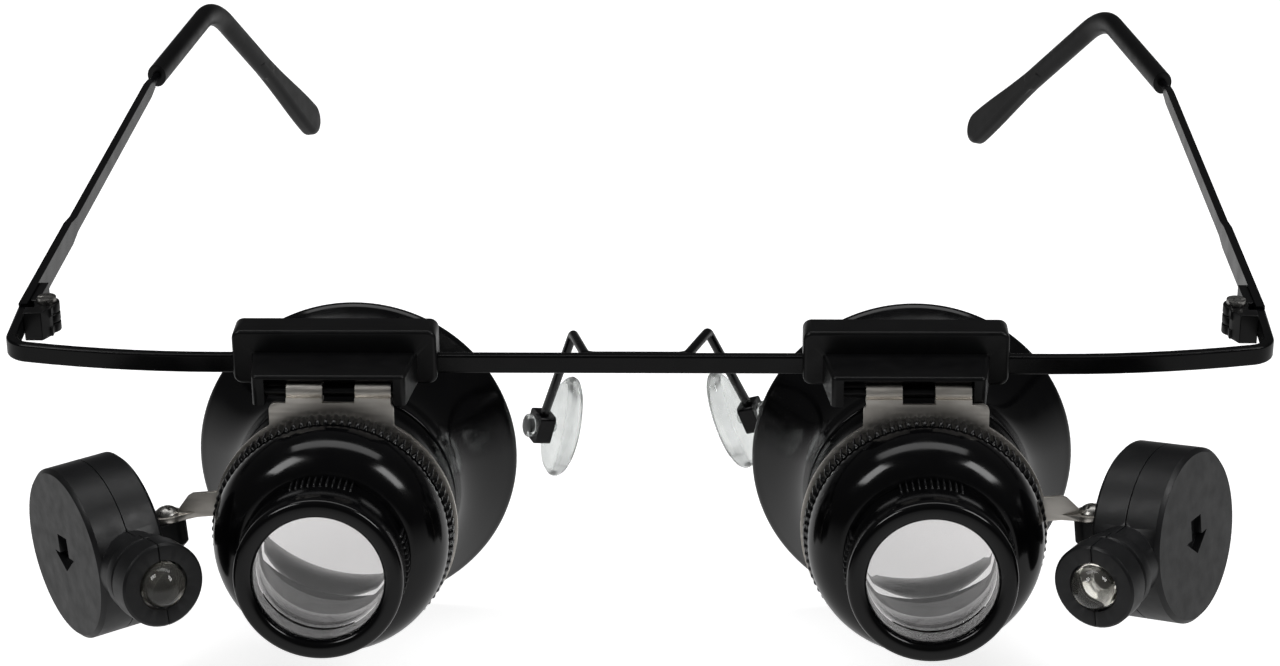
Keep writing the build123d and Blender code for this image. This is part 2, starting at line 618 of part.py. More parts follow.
def lens(radius, clear_radius, y_front, y_rear, sag):
    """Lens with a flat rim and the same curve on both faces; a negative sag makes them hollow."""
    glass = plug(radius, y_front, y_rear)
    curve = (clear_radius ** 2 + sag ** 2) / (2 * abs(sag))
    for face, outward in ((y_front, -1), (y_rear, 1)):
        ball = Pos(0, face + outward * (abs(sag) - curve) * math.copysign(1, sag), 0) * Sphere(curve)
        if sag > 0:
            low, high = sorted((face, face + outward * 5))
            glass += ball & block((-radius, radius), (low, high), (-radius, radius))
        else:
            glass -= ball
    return glass


def front_lens(side):
    """Positive lens in the objective barrel."""
    seat = BARREL_FRONT + 3.4
    rear = seat + 2.25
    glass = lens(FRONT_LENS_RADIUS, OBJECTIVE_RADIUS - 0.1, seat + 0.02, rear, FRONT_LENS_SAG)
    return loupe_place(side) * glass


def eye_lens(side):
    """Negative lens in the eyecup."""
    return loupe_place(side) * lens(EYE_LENS_RADIUS, 8.3, -22.55, -18.8, -EYE_LENS_SAG)


def lens_spacer(side):
    """Thin tube between the front barrel and the eye lens."""
    return loupe_place(side) * ring(SPACER_RADIUS, SPACER_RADIUS - 0.5, BARREL_REAR + 0.1, -22.6)


def retaining_ring(side):
    """Ring that holds the eye lens against its shoulder, with two key slots."""
    body = ring(EYE_LENS_RADIUS, 9.4, -18.75, -16.8)
    body -= block((-12, 12), (-17.4, -16), (-0.5, 0.5))
    return loupe_place(side) * body


# ---- lamp ---------------------------------------------------------------------------------------------


def lamp_place(side):
    """From the lamp's own frame to the glasses, through the bent arm."""
    hand = SIDES[side]
    roll = Pos(hand * 15, 0, 0) * Rot(0, hand * arm_roll(side), 0) * Pos(-hand * 15, 0, 0)
    swivel = Pos(hand * SWIVEL_X, SWIVEL_Y, LUG_TOP) * Rot(0, 0, -hand * LAMP_TOE_IN[side])
    return loupe_place(side) * roll * swivel


def disc(radius, x_low, x_high):
    """Disc about the housing's axis."""
    return rod(radius, (x_low, 0, DISC_CENTRE_Z), (x_high, 0, DISC_CENTRE_Z))


def head_profile():
    """Neck and head of the LED holder, turned about the LED's axis, (radius, y)."""
    collar = HEAD_FRONT + 4.9
    groove = HEAD_FRONT + 3.5
    return [(0, -5.0), (3.9, -5.0), (3.9, collar + 0.4), (4.35, collar), (4.35, groove + 0.2), (4.05, groove),
            (4.05, groove - 0.5), (HEAD_RADIUS, groove - 0.7), (HEAD_RADIUS, HEAD_FRONT + 0.25),
            (HEAD_RADIUS - 0.25, HEAD_FRONT), (0, HEAD_FRONT)]


def led_cavity():
    """Stepped hole for the LED and its leads, about the LED's axis."""
    return turned([(0, -5.0), (2.6, -5.0), (2.6, -9.0), (2.0, -9.0), (2.0, LED_BASE + 0.3),
                   (LED_FLANGE_RADIUS + FIT, LED_BASE + 0.3),
                   (LED_FLANGE_RADIUS + FIT, LED_BASE - 1.15), (LED_RADIUS + FIT, LED_BASE - 1.15),
                   (LED_RADIUS + FIT, HEAD_FRONT + 0.8), (LED_RADIUS + 0.55, HEAD_FRONT - 1),
                   (0, HEAD_FRONT - 1)])


def lamp_housing():
    """Whole housing before it is split: disc, LED holder, cell chamber and LED hole."""
    half = DISC_THICK / 2
    body = disc(DISC_RADIUS, DISC_CENTRE_X - half, DISC_CENTRE_X + half)
    body = chamfer(body.edges().filter_by(GeomType.CIRCLE), DISC_EDGE)
    at_led = Pos(DISC_CENTRE_X, 0, DISC_CENTRE_Z)
    body += at_led * turned(head_profile())
    body -= disc(CELL_RADIUS + 0.15, DISC_CENTRE_X - CELL_CAVITY_THICK / 2,
                 DISC_CENTRE_X + CELL_CAVITY_THICK / 2)
    body -= at_led * led_cavity()
    return body


def arrow_recess():
    """Arrow-shaped pocket in the outer face, pointing down: the way the cover slides off."""
    depth = 0.9
    face_x = DISC_CENTRE_X + DISC_THICK / 2
    outline = [(-1.2, 2.1), (1.2, 2.1), (1.2, -0.1), (2.5, -0.1), (0, -2.0), (-2.5, -0.1), (-1.2, -0.1)]
    points = [(face_x - depth, y, DISC_CENTRE_Z + z) for y, z in outline]
    return extrude(make_face(Polyline(*points, close=True)), amount=depth + 1, dir=(1, 0, 0))


def half_space(x_low, x_high):
    return block((x_low, x_high), (-30, 30), (-30, 30))


def lamp_outer_shell(side):
    shell = lamp_housing() & half_space(DISC_CENTRE_X + SHELL_GAP, DISC_CENTRE_X + 20)
    shell -= arrow_recess()
    return lamp_place(side) * handed(shell, side)


def lamp_inner_shell(side):
    """Inner half, with the lug that takes the swivel screw."""
    shell = lamp_housing() & half_space(DISC_CENTRE_X - 20, DISC_CENTRE_X - SHELL_GAP)
    inner_face = DISC_CENTRE_X - DISC_THICK / 2
    lug = block((0, inner_face + 0.4), (-2.0, 2.0), (-3.4, 0))
    lug += rod(2.0, (0, 0, -3.4), (0, 0, 0))
    lug = chamfer(lug.edges().group_by(Axis.Z)[0].filter_by(GeomType.CIRCLE), 0.7)
    lug -= rod(LAMP_SCREW_RADIUS + 0.01, (0, 0, -3.0), (0, 0, 1))
    return lamp_place(side) * handed(shell + lug, side)


def lamp_screw(side):
    """Round-head cross-recess screw, down through the arm into the lug."""
    seat = FIT + 0.6 + 0.03
    shank = rod(LAMP_SCREW_RADIUS, (0, 0, -2.9), (0, 0, seat + 0.2))
    height = LAMP_SCREW_HEAD_HEIGHT
    curve = (LAMP_SCREW_HEAD_RADIUS ** 2 + height ** 2) / (2 * height)
    dome = Pos(0, 0, seat + height - curve) * Sphere(curve) & block((-2, 2), (-2, 2), (seat, seat + 2))
    floor = seat + height * 0.5
    cross = block((-0.9, 0.9), (-0.14, 0.14), (floor, 3)) + block((-0.14, 0.14), (-0.9, 0.9), (floor, 3))
    return lamp_place(side) * handed(shank + dome - cross, side)


def lamp_led(side):
    """Clear 5 mm LED with its flange."""
    tip = LED_TIP
    shoulder = tip + LED_RADIUS
    body = Polyline((0, LED_BASE), (LED_FLANGE_RADIUS, LED_BASE), (LED_FLANGE_RADIUS, LED_BASE - 1.0),
                    (LED_RADIUS, LED_BASE - 1.0), (LED_RADIUS, shoulder))
    nose = RadiusArc((LED_RADIUS, shoulder), (0, tip), LED_RADIUS)
    led = revolve(make_face(body + nose + Line((0, tip), (0, LED_BASE))), Axis.Y)
    return lamp_place(side) * handed(Pos(DISC_CENTRE_X, 0, DISC_CENTRE_Z) * led, side)


def lamp_cells(side):
    """Two coin cells, one on the other, with a stepped rim on each."""
    cells = Part()
    low = DISC_CENTRE_X - CELL_THICK - 0.01
    for start in (low, low + CELL_THICK + 0.02):
        can = disc(CELL_RADIUS, start, start + CELL_THICK * 0.75)
        lid = disc(CELL_RADIUS - 0.9, start + CELL_THICK * 0.75, start + CELL_THICK)
        cells += can + lid
    return lamp_place(side) * handed(cells, side)


def lamp_contacts(side):
    """Two brass contact strips against the cells, each joined to a lead of the LED."""
    thick = 0.2
    contacts = Part()
    for hand in (-1, 1):
        face = DISC_CENTRE_X + hand * (CELL_THICK + 0.06 + thick / 2)
        strip = block((face - thick / 2, face + thick / 2), (-7.4, 3.0),
                      (DISC_CENTRE_Z - 1.2, DISC_CENTRE_Z + 1.2))
        lead_x = DISC_CENTRE_X + hand * 1.27
        lead = rod(0.25, (lead_x, LED_BASE + 0.02, DISC_CENTRE_Z), (lead_x, -8.4, DISC_CENTRE_Z))
        link_low = min(lead_x, face) - 0.12
        link_high = max(lead_x, face) + 0.12
        link = block((link_low, link_high), (-8.6, -8.25), (DISC_CENTRE_Z - 0.25, DISC_CENTRE_Z + 0.25))
        web = block((face - thick / 2, face + thick / 2), (-8.6, -7.0),
                    (DISC_CENTRE_Z - 0.25, DISC_CENTRE_Z + 0.25))
        contacts += strip + lead + link + web
    return lamp_place(side) * handed(contacts, side)


# ---- all pieces ---------------------------------------------------------------------------------------

PAIRED = {
    "hinge_leaf_front": hinge_leaf_front,
    "hinge_screw": hinge_screw,
    "temple_arm": temple_arm,
    "temple_leaf": temple_leaf,
    "temple_tip": temple_tip,
    "pad_box": pad_box,
    "nose_pad": nose_pad,
    "slider_body": slider_body,
    "slider_cover": slider_cover,
    "slider_screws": slider_screws,
    "slider_spring": slider_spring,
    "flip_pin": flip_pin,
    "loupe_plate": loupe_plate,
    "eyecup": eyecup,
    "knurled_cap": knurled_cap,
    "front_lens": front_lens,
    "eye_lens": eye_lens,
    "lens_spacer": lens_spacer,
    "retaining_ring": retaining_ring,
    "lamp_outer_shell": lamp_outer_shell,
    "lamp_inner_shell": lamp_inner_shell,
    "lamp_screw": lamp_screw,
    "lamp_led": lamp_led,
    "lamp_cells": lamp_cells,
    "lamp_contacts": lamp_contacts,
}

save(brow_bar(), "brow_bar")
save(nose_wire(), "nose_wire")
for side in SIDES:
    for name, make in PAIRED.items():
        save(make(side), f"{name}_{side}")
    save(loupe_place(side) * grip_ribs(objective_barrel(side)), f"objective_barrel_{side}")
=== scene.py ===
import bmesh
import bpy
import json
import math
from mathutils import Matrix, Vector


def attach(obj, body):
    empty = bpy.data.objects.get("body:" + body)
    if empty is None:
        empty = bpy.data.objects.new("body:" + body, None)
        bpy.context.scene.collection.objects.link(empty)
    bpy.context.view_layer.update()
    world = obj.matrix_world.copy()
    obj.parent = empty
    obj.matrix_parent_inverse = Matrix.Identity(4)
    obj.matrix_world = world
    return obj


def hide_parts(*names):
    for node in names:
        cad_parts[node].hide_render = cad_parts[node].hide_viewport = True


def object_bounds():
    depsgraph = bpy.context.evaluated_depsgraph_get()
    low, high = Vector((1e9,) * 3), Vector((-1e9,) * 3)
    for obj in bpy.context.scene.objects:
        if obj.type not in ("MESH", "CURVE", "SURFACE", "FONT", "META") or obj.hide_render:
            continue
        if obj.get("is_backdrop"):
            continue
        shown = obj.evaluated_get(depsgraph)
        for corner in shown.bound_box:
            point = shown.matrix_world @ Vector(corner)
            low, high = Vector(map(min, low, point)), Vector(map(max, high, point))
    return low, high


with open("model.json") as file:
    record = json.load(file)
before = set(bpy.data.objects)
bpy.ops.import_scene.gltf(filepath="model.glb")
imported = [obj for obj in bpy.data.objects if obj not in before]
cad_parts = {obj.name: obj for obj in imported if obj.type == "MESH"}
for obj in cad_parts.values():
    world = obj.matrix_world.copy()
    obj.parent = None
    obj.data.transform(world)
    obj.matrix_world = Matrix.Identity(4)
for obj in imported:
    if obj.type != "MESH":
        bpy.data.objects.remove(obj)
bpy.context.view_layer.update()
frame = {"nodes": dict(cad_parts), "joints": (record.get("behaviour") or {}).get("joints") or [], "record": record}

# Lengths are written in millimetres, as in the CAD source, and turned into metres by MM.
MM = 0.001
SIDES = {"left": -1, "right": 1}

# ---- dimensions shared with the CAD -------------------------------------------------------------------

FLIP_REST_TILT = 6.3
RIM_BEHIND_HINGE = 22.7
AXIS_BELOW_HINGE = 15.3
LAMP_TOE_IN = {"left": 35.0, "right": 33.0}
DISC_CENTRE = (8.5, -0.6)
LED_BASE = -12.0
LED_TIP = -18.8
LED_FRAME_REAR = -13.2
LED_RADIUS = 2.45
CAP_RADIUS = 13.0
CAP_KNURL_REAR = -24.45
CAP_KNURL_FRONT = -27.2
CAP_FRONT = -33.4
KNURL_TEETH = 92
KNURL_DEPTH = 0.42
BARREL_RADIUS = 9.1
RIB_ROOT_RADIUS = 8.88
RIB_LENGTH = 2.7
BARREL_FRONT = -40.6
LENS_SEAT = BARREL_FRONT + 3.4
FRONT_LENS_SAG = 0.35
EYE_LENS_SAG = 0.4
OBJECTIVE_RADIUS = 7.0
PAD_LENGTH = 13.0
PAD_WIDTH = 7.4
PAD_LEAN = {"left": 15.0, "right": 22.0}

JOINTS = {joint["name"]: joint for joint in frame["joints"]}

# ---- light and camera ---------------------------------------------------------------------------------

# The table lights the object from below; its light fades to the room's between these two heights of view.
TABLE_LIGHT = 0.6
TABLE_EDGE = (-0.3, 0.05)
ROOM_LIGHT = 0.05
CAMERA_PLACE = (9.2034, -320.8255, 145.1053)
CAMERA_DOWN = 23.784
CAMERA_TURN = 1.5561
CAMERA_ROLL = -0.4937
FOCAL_LENGTH = 88.73


# ---- meshes -------------------------------------------------------------------------------------------


def add_object(name, data, place=Matrix.Identity(4)):
    piece = bpy.data.objects.new(name, data)
    bpy.context.scene.collection.objects.link(piece)
    piece.matrix_world = place
    return piece


def finish_mesh(name, bm, place):
    """Turns a bmesh drawn in millimetres into a smooth-shaded object."""
    bmesh.ops.recalc_face_normals(bm, faces=bm.faces)
    bmesh.ops.scale(bm, vec=(MM, MM, MM), verts=bm.verts)
    for face in bm.faces:
        face.smooth = True
    mesh = bpy.data.meshes.new(name)
    bm.to_mesh(mesh)
    bm.free()
    return add_object(name, mesh, place)


def rounded(points, radius, steps=3):
    """The same outline with each inner corner rounded; the two ends stay."""
    soft = [points[0]]
    for before, corner, after in zip(points, points[1:], points[2:]):
        here = Vector(corner)
        to_before = Vector(before) - here
        to_after = Vector(after) - here
        cut = min(radius, to_before.length * 0.45, to_after.length * 0.45)
        start = here + to_before.normalized() * cut
        end = here + to_after.normalized() * cut
        for i in range(steps + 1):
            t = i / steps
            soft.append(tuple(start * (1 - t) ** 2 + here * 2 * t * (1 - t) + end * t ** 2))
    soft.append(points[-1])
    return soft


def bezier(start, pull_start, pull_end, end, steps=14):
    """Points on a cubic curve between two outline points, both ends included."""
    a, b, c, d = Vector(start), Vector(pull_start), Vector(pull_end), Vector(end)
    points = []
    for i in range(steps + 1):
        t = i / steps
        s = 1 - t
        points.append(tuple(a * s ** 3 + b * 3 * s * s * t + c * 3 * s * t * t + d * t ** 3))
    return points


def lathe(name, outline, place, closed=True, segments=160):
    """Turns an outline of (radius, y) points about Y. A point on the axis becomes a single vertex."""
    bm = bmesh.new()
    rings = []
    for radius, y in outline:
        if radius < 1e-6:
            rings.append([bm.verts.new((0, y, 0))])
            continue
        angles = [2 * math.pi * i / segments for i in range(segments)]
        rings.append([bm.verts.new((radius * math.cos(a), y, radius * math.sin(a))) for a in angles])
    pairs = list(zip(rings, rings[1:]))
    if closed:
        pairs.append((rings[-1], rings[0]))
    for low, high in pairs:
        join_rings(bm, low, high)
    return finish_mesh(name, bm, place)


def join_rings(bm, low, high):
    """Faces between two rings of equal count, or between a ring and a single point."""
    count = max(len(low), len(high))
    if len(low) == 1 and len(high) == 1:
        return
    for i in range(count):
        j = (i + 1) % count
        corners = [low[i % len(low)], low[j % len(low)], high[j % len(high)], high[i % len(high)]]
        unique = []
        for vertex in corners:
            if vertex not in unique:
                unique.append(vertex)
        bm.faces.new(unique)


def box_mesh(name, x, y, z, place):
    """Box from three (low, high) pairs, edges rounded by a modifier."""
    bm = bmesh.new()
    bmesh.ops.create_cube(bm, size=1)
    size = Vector((x[1] - x[0], y[1] - y[0], z[1] - z[0]))
    centre = Vector((x[0] + x[1], y[0] + y[1], z[0] + z[1])) / 2
    bmesh.ops.scale(bm, vec=size, verts=bm.verts)
    bmesh.ops.translate(bm, vec=centre, verts=bm.verts)
    piece = finish_mesh(name, bm, place)
    soften(piece, min(size) * 0.2)
    return piece


def soften(piece, width_mm, segments=2, angle=32):
    """Rounds the sharp edges of a piece and evens out its shading, without touching its own vertices."""
    weld = piece.modifiers.new("weld", "WELD")
    weld.merge_threshold = 0.001 * MM
    bevel = piece.modifiers.new("bevel", "BEVEL")
    bevel.width = width_mm * MM
    bevel.segments = segments
    bevel.limit_method = "ANGLE"
    bevel.angle_limit = math.radians(angle)
    bevel.use_clamp_overlap = True
    normals = piece.modifiers.new("normals", "WEIGHTED_NORMAL")
    normals.keep_sharp = False
    for face in piece.data.polygons:
        face.use_smooth = True


# ---- materials ----------------------------------------------------------------------------------------


def new_material(name, colour, roughness, metallic=0.0):
    material = bpy.data.materials.new(name)
    material.use_nodes = True
    shader = material.node_tree.nodes["Principled BSDF"]
    shader.inputs["Base Color"].default_value = (*colour, 1)
    shader.inputs["Roughness"].default_value = roughness
    shader.inputs["Metallic"].default_value = metallic
    return material, material.node_tree, shader


def noise(tree, scale, detail=4.0, stretch=(1, 1, 1)):
    """Noise in the object's own coordinates; stretch lengthens it along an axis."""
    coordinates = tree.nodes.new("ShaderNodeTexCoord")
    mapping = tree.nodes.new("ShaderNodeMapping")
    mapping.inputs["Scale"].default_value = stretch
    texture = tree.nodes.new("ShaderNodeTexNoise")
    texture.inputs["Scale"].default_value = scale
    texture.inputs["Detail"].default_value = detail
    tree.links.new(coordinates.outputs["Object"], mapping.inputs["Vector"])
    tree.links.new(mapping.outputs["Vector"], texture.inputs["Vector"])
    return texture.outputs["Fac"]


def ramp(tree, source, low, high, start=0.3, end=0.7):
    """Maps a 0 to 1 value onto a range of grey levels or colours."""
    node = tree.nodes.new("ShaderNodeValToRGB")
    node.color_ramp.elements[0].position = start
    node.color_ramp.elements[1].position = end
    node.color_ramp.elements[0].color = (*low, 1)
    node.color_ramp.elements[1].color = (*high, 1)
    tree.links.new(source, node.inputs["Fac"])
    return node.outputs["Color"]


def grey(value):
    return (value, value, value)


def bump(tree, shader, height, strength, distance_mm):
    node = tree.nodes.new("ShaderNodeBump")
    node.inputs["Strength"].default_value = strength
    node.inputs["Distance"].default_value = distance_mm * MM
    tree.links.new(height, node.inputs["Height"])
    tree.links.new(node.outputs["Normal"], shader.inputs["Normal"])


def worn_edges(tree, base, worn, start=0.52, end=0.6):
    """Mixes a rubbed colour in on outer edges, broken up by noise."""
    geometry = tree.nodes.new("ShaderNodeNewGeometry")
    edge = ramp(tree, geometry.outputs["Pointiness"], grey(0), grey(1), start, end)
    patches = ramp(tree, noise(tree, 900), grey(0.2), grey(1), 0.35, 0.65)
    both = tree.nodes.new("ShaderNodeMath")
    both.operation = "MULTIPLY"
    tree.links.new(edge, both.inputs[0])
    tree.links.new(patches, both.inputs[1])
    mix = tree.nodes.new("ShaderNodeMix")
    mix.data_type = "RGBA"
    mix.inputs["B"].default_value = (*worn, 1)
    tree.links.new(both.outputs["Value"], mix.inputs["Factor"])
    if isinstance(base, tuple):
        mix.inputs["A"].default_value = (*base, 1)
    else:
        tree.links.new(base, mix.inputs["A"])
    return mix.outputs["Result"]


def gloss_black():
    """Polished black moulding with a faint orange peel and hairline handling marks."""
    material, tree, shader = new_material("gloss_black_plastic", (0.003, 0.003, 0.0035), 0.12)
    tone = ramp(tree, noise(tree, 120), (0.0022, 0.0022, 0.0026), (0.0042, 0.0042, 0.0048))
    tree.links.new(worn_edges(tree, tone, (0.016, 0.016, 0.017)), shader.inputs["Base Color"])
    tree.links.new(ramp(tree, noise(tree, 420, 8), grey(0.09), grey(0.18)), shader.inputs["Roughness"])
    bump(tree, shader, noise(tree, 260, 2), 0.05, 0.02)
    shader.inputs["Specular IOR Level"].default_value = 0.36
    return material


def satin_black():
    """Satin black moulding with a fine spark-eroded grain."""
    material, tree, shader = new_material("satin_black_plastic", (0.005, 0.005, 0.0055), 0.34)
    tone = ramp(tree, noise(tree, 160), (0.0042, 0.0042, 0.0046), (0.0068, 0.0068, 0.0072))
    tree.links.new(tone, shader.inputs["Base Color"])
    tree.links.new(ramp(tree, noise(tree, 500, 6), grey(0.28), grey(0.4)), shader.inputs["Roughness"])
    bump(tree, shader, noise(tree, 4200, 3), 0.08, 0.01)
    shader.inputs["Specular IOR Level"].default_value = 0.26
    return material


def charcoal():
    """Matt charcoal lamp housing with a slightly coarse grain."""
    material, tree, shader = new_material("charcoal_plastic", (0.009, 0.009, 0.01), 0.4)
    tone = ramp(tree, noise(tree, 220), (0.0075, 0.0077, 0.0085), (0.0125, 0.0128, 0.0138))
    tree.links.new(tone, shader.inputs["Base Color"])
    tree.links.new(ramp(tree, noise(tree, 600, 6), grey(0.34), grey(0.46)), shader.inputs["Roughness"])
    bump(tree, shader, noise(tree, 3200, 4), 0.2, 0.02)
    shader.inputs["Specular IOR Level"].default_value = 0.4
    return material


def black_paint():
    """Black enamel on spring steel, with a little unevenness in its gloss."""
    material, tree, shader = new_material("black_paint", (0.003, 0.003, 0.0034), 0.24)
    tone = ramp(tree, noise(tree, 90), (0.0024, 0.0024, 0.0028), (0.0044, 0.0044, 0.005))
    tree.links.new(tone, shader.inputs["Base Color"])
    tree.links.new(ramp(tree, noise(tree, 300, 6), grey(0.18), grey(0.3)), shader.inputs["Roughness"])
    bump(tree, shader, noise(tree, 900, 3), 0.05, 0.01)
    shader.inputs["Specular IOR Level"].default_value = 0.22
    return material


def brushed(name, dark, light, roughness, stretch):
    """Metal with fine lines along one axis and soft tarnish."""
    material, tree, shader = new_material(name, light, roughness, metallic=1.0)
    lines = noise(tree, 2600, 3, stretch)
    tree.links.new(ramp(tree, noise(tree, 260, 5), dark, light), shader.inputs["Base Color"])
    tree.links.new(ramp(tree, lines, grey(roughness - 0.08), grey(roughness + 0.12)),
                   shader.inputs["Roughness"])
    bump(tree, shader, lines, 0.18, 0.012)
    return material


def lens_glass():
    """Clear glass with a faint coating tint and a trace of dust."""
    material, tree, shader = new_material("lens_glass", (0.79, 0.78, 0.78), 0.0)
    shader.inputs["Transmission Weight"].default_value = 1.0
    shader.inputs["IOR"].default_value = 1.52
    tree.links.new(ramp(tree, noise(tree, 900, 8), grey(0.0), grey(0.03), 0.45, 0.8),
                   shader.inputs["Roughness"])
    tree.links.new(ramp(tree, noise(tree, 60), (0.77, 0.765, 0.765), (0.81, 0.8, 0.8)),
                   shader.inputs["Base Color"])
    return material


def led_epoxy():
    """Clear cast epoxy, very slightly yellow, with small bubbles and flow marks."""
    material, tree, shader = new_material("led_epoxy", (0.97, 0.96, 0.9), 0.03)
    shader.inputs["Transmission Weight"].default_value = 0.95
    shader.inputs["IOR"].default_value = 1.5
    tree.links.new(ramp(tree, noise(tree, 700, 4), (0.98, 0.97, 0.92), (0.93, 0.9, 0.8)),
                   shader.inputs["Base Color"])
    bump(tree, shader, noise(tree, 500, 2), 0.05, 0.03)
    return material


def silicone():
    """Milky clear silicone rubber."""
    material, tree, shader = new_material("clear_silicone", (0.7, 0.72, 0.71), 0.1)
    shader.inputs["Transmission Weight"].default_value = 0.9
    shader.inputs["IOR"].default_value = 1.43
    tree.links.new(ramp(tree, noise(tree, 260, 3), (0.6, 0.62, 0.61), (0.82, 0.84, 0.83)),
                   shader.inputs["Base Color"])
    tree.links.new(ramp(tree, noise(tree, 800, 5), grey(0.06), grey(0.16)), shader.inputs["Roughness"])
    bump(tree, shader, noise(tree, 320, 2), 0.12, 0.08)
    return material


def phosphor():
    """Yellow phosphor over the LED's chip."""
    material, tree, shader = new_material("phosphor", (0.85, 0.62, 0.12), 0.6)
    tree.links.new(ramp(tree, noise(tree, 3000, 3), (0.75, 0.5, 0.08), (0.92, 0.75, 0.25)),
                   shader.inputs["Base Color"])
    bump(tree, shader, noise(tree, 5000, 2), 0.3, 0.03)
    return material


MATERIALS = {
    "frame_paint": black_paint(),
    "hinge_black": satin_black(),
    "tip_plastic": satin_black(),
    "clip_plastic": satin_black(),
    "cup_plastic": gloss_black(),
    "lamp_plastic": charcoal(),
    "lens_glass": lens_glass(),
    "led_epoxy": led_epoxy(),
    "silicone": silicone(),
    "steel": brushed("plain_steel", (0.34, 0.33, 0.31), (0.55, 0.54, 0.52), 0.3, (1, 1, 1)),
    "nickel": brushed("nickel_plate", (0.72, 0.68, 0.62), (0.93, 0.89, 0.83), 0.38, (0.08, 1, 1)),
    "cell_steel": brushed("cell_can", (0.6, 0.6, 0.6), (0.78, 0.78, 0.78), 0.2, (1, 1, 1)),
    "brass": brushed("brass_strip", (0.55, 0.4, 0.16), (0.78, 0.6, 0.3), 0.25, (1, 0.1, 1)),
}
MATERIAL_PHOSPHOR = phosphor()


def dress(piece, slot_name, body, *replaced):
    """Gives a new piece the material of its slot and its body, and hides the CAD nodes it stands for."""
    piece.data.materials.clear()
    piece.data.materials.append(MATERIALS[slot_name])
    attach(piece, body)
    if replaced:
        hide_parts(*replaced)


# ---- places -------------------------------------------------------------------------------------------


def turn(degrees, axis):
    return Matrix.Rotation(math.radians(degrees), 4, axis)


def eyepiece_place(side):
    """The eyepiece's frame: optical axis along Y, eyecup rim at y = 0."""
    hinge = Matrix.Translation(JOINTS[f"eyepiece_flip_{side}"]["pos_m"])
    offset = Vector((0, RIM_BEHIND_HINGE, -AXIS_BELOW_HINGE)) * MM
    return hinge @ turn(-FLIP_REST_TILT, "X") @ Matrix.Translation(offset)


def lamp_place(side):
    """The lamp's frame: swivel screw along Z, disc axis along X, LED looking along -Y."""
    swivel = JOINTS[f"lamp_swivel_{side}"]
    up = Vector(swivel["axis"]).normalized()
    tilt = turn(-FLIP_REST_TILT, "X")
    across = (tilt @ Vector((1, 0, 0))).cross(up).cross(up) * -1
    across.normalize()
    back = up.cross(across)
    axes = Matrix((across, back, up)).transposed().to_4x4()
    return Matrix.Translation(swivel["pos_m"]) @ axes @ turn(-SIDES[side] * LAMP_TOE_IN[side], "Z")


# ---- eyepieces ----------------------------------------------------------------------------------------


def eyecup(side):
    """Threaded neck, stepped body and a trumpet that flares to a rolled rim."""
    outside = rounded([(10.4, -29.2), (10.4, -23.73), (12.7, -23.73), (12.7, -16.2), (12.2, -16.2),
                       (12.2, -15.2), (12.7, -15.2), (12.7, -12.6)], 0.25)
    flare = bezier((12.7, -12.6), (12.7, -8.8), (15.2, -5.2), (18.3, -1.25))
    lip = [(18.62, -0.9), (18.7, -0.55), (18.62, -0.2), (18.35, 0.0), (17.7, 0.0)]
    throat = bezier((17.5, -0.1), (14.4, -3.8), (11.4, -8.4), (11.4, -12.6))
    inside = rounded([(11.4, -12.6), (11.4, -14.2), (10.95, -14.2), (10.95, -22.6), (9.0, -22.6),
                      (9.0, -29.2)], 0.15)
    outline = outside + flare[1:] + lip + throat + inside[1:]
    piece = lathe(f"eyecup_shell_{side}", outline, eyepiece_place(side))
    dress(piece, "cup_plastic", f"eyepiece_{side}", f"eyecup_{side}")


def knurl_radius(angle_share, y_share):
    """Radius along one tooth: rounded across and rounded off at both ends."""
    across = max(0.0, math.sin(math.pi * min(angle_share / 0.72, 1.0))) ** 0.55
    ends = min(1.0, min(y_share, 1 - y_share) * 7) ** 0.5
    return CAP_RADIUS - 0.05 + KNURL_DEPTH * across * ends


def knurled_cap(side):
    """Screw cap: bead-like knurl round a smooth dome."""
    columns_per_tooth = 8
    rows = 9
    bm = bmesh.new()
    rings = []
    for row in range(rows + 1):
        share = row / rows
        y = CAP_KNURL_REAR + (CAP_KNURL_FRONT - CAP_KNURL_REAR) * share
        ring = []
        for column in range(KNURL_TEETH * columns_per_tooth):
            angle = 2 * math.pi * column / (KNURL_TEETH * columns_per_tooth)
            radius = knurl_radius((column % columns_per_tooth) / columns_per_tooth, share)
            ring.append(bm.verts.new((radius * math.cos(angle), y, radius * math.sin(angle))))
        rings.append(ring)
    for low, high in zip(rings, rings[1:]):
        join_rings(bm, low, high)
    knurl = finish_mesh(f"cap_knurl_{side}", bm, eyepiece_place(side))
    dome = bezier((12.9, CAP_KNURL_FRONT - 0.1), (13.1, -29.4), (12.4, -32.0), (9.9, -33.25))
    outline = rounded([(10.45, CAP_KNURL_REAR), (12.95, CAP_KNURL_REAR), (12.95, CAP_KNURL_FRONT + 0.3)], 0.1)
    outline += [(12.6, CAP_KNURL_FRONT), *dome, (9.6, CAP_FRONT), (7.9, CAP_FRONT), (7.9, -29.5),
                (10.45, -29.5)]
    shell = lathe(f"cap_dome_{side}", outline, eyepiece_place(side), segments=192)
    dress(knurl, "cup_plastic", f"eyepiece_{side}")
    dress(shell, "cup_plastic", f"eyepiece_{side}", f"knurled_cap_{side}")


